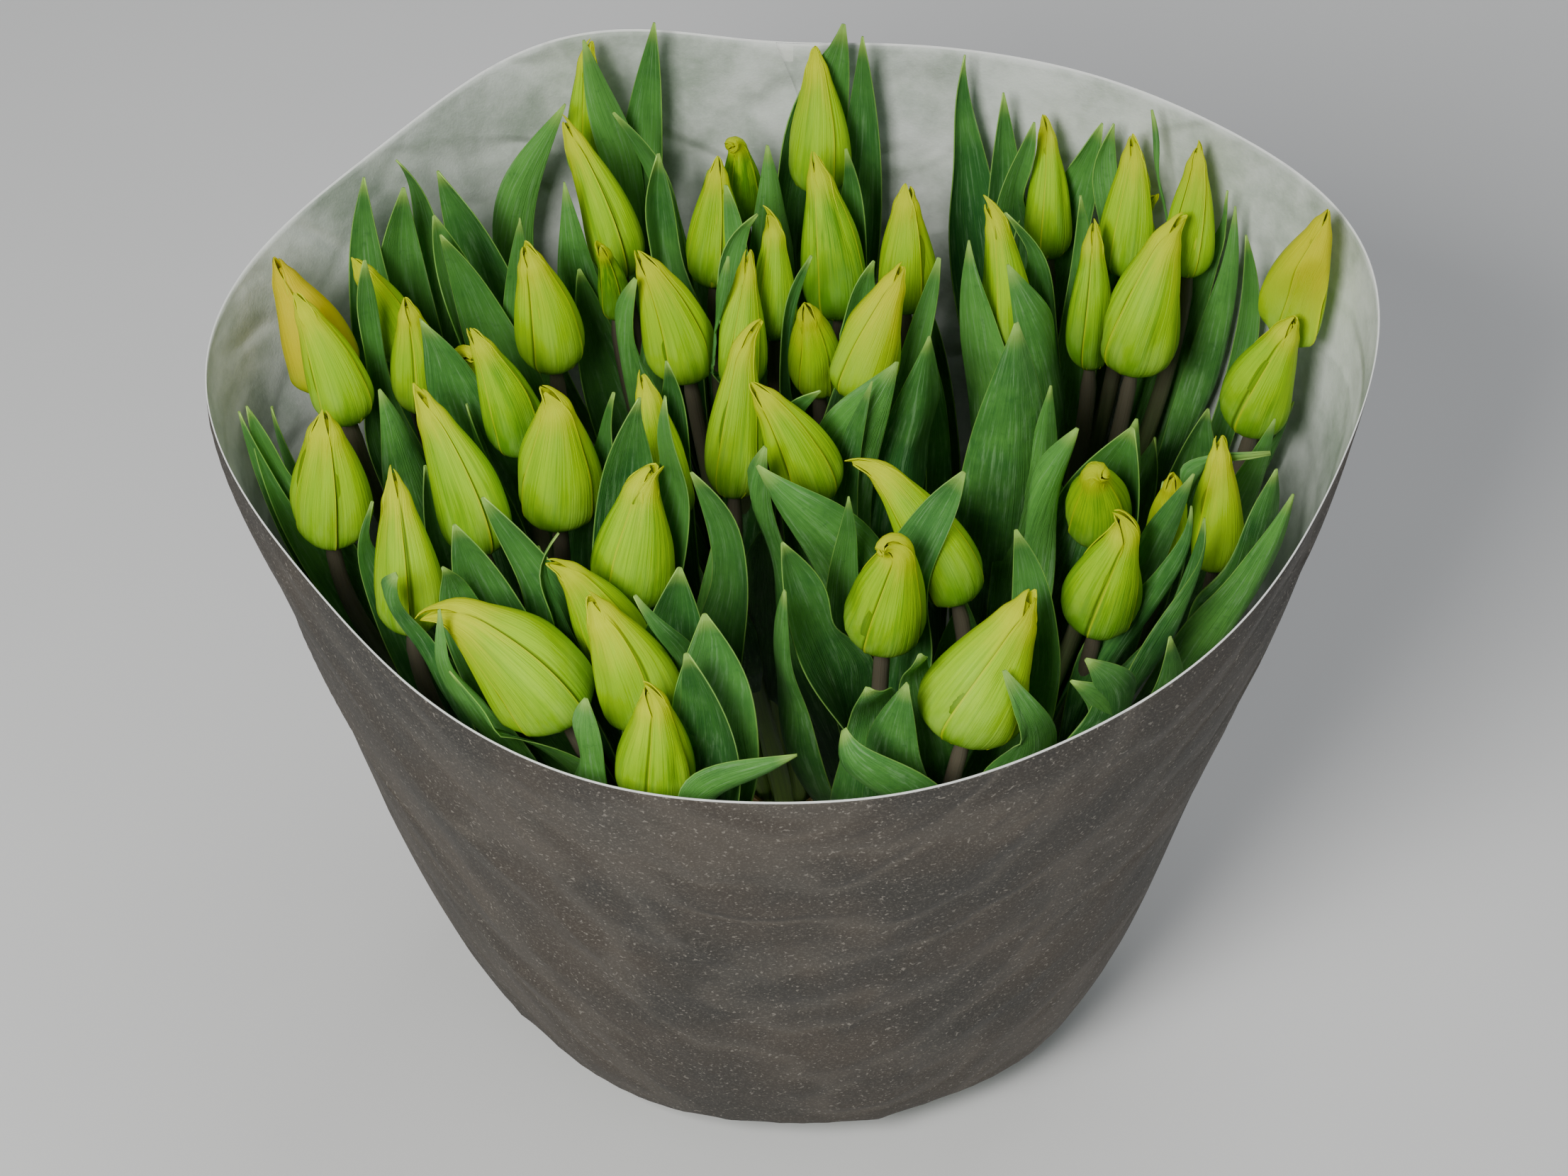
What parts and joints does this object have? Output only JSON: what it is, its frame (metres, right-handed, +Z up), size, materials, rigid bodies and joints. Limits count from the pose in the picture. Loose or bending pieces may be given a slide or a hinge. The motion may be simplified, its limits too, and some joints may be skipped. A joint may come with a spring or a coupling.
{
  "type": "bunch of tulips",
  "caption": "Florist's bunch of cut tulips in tight yellow-green bud with broad pointed leaves, upright in a wide-mouthed tapered paper sleeve.",
  "frame": {"origin": "under the middle of the bunch's box, on the surface that its cut stem ends stand on", "axes": "+Z up, +X to the viewer's right, +Y away from the viewer, towards the taller back of the sleeve"},
  "size_m": [0.4532, 0.3444, 0.4288],
  "materials": {
    "petal": null,
    "leaf": null,
    "elastic": "matt tan elastic band",
    "sleeve_paper": "matt charcoal-brown paper outside, pale grey-green inside, unprinted"
  },
  "bodies": {
    "root": {"bud_01": "petal", "bud_02": "petal", "bud_03": "petal", "bud_04": "petal", "bud_05": "petal", "bud_06": "petal", "bud_07": "petal", "bud_08": "petal", "bud_09": "petal", "bud_10": "petal", "bud_11": "petal", "bud_12": "petal", "bud_13": "petal", "bud_14": "petal", "bud_15": "petal", "bud_16": "petal", "bud_17": "petal", "bud_18": "petal", "bud_19": "petal", "bud_20": "petal", "bud_21": "petal", "bud_22": "petal", "bud_23": "petal", "bud_24": "petal", "bud_25": "petal", "bud_26": "petal", "bud_27": "petal", "bud_28": "petal", "bud_29": "petal", "bud_30": "petal", "bud_31": "petal", "bud_32": "petal", "bud_33": "petal", "bud_34": "petal", "bud_35": "petal", "bud_36": "petal", "bud_37": "petal", "bud_38": "petal", "bud_39": "petal", "bud_40": "petal", "bud_41": "petal", "bud_42": "petal", "bud_43": "petal", "bud_44": "petal", "bud_45": "petal", "bud_46": "petal", "bud_47": "petal", "bud_48": "petal", "bud_49": "petal", "leafy_stems_a": "leaf", "leafy_stems_b": "leaf", "leafy_stems_c": "leaf", "leafy_stems_d": "leaf", "leafy_stems_e": "leaf", "elastic_band_a": "elastic", "elastic_band_b": "elastic", "elastic_band_c": "elastic", "elastic_band_d": "elastic", "elastic_band_e": "elastic", "paper_sleeve": "sleeve_paper"}
  },
  "joints": []
}
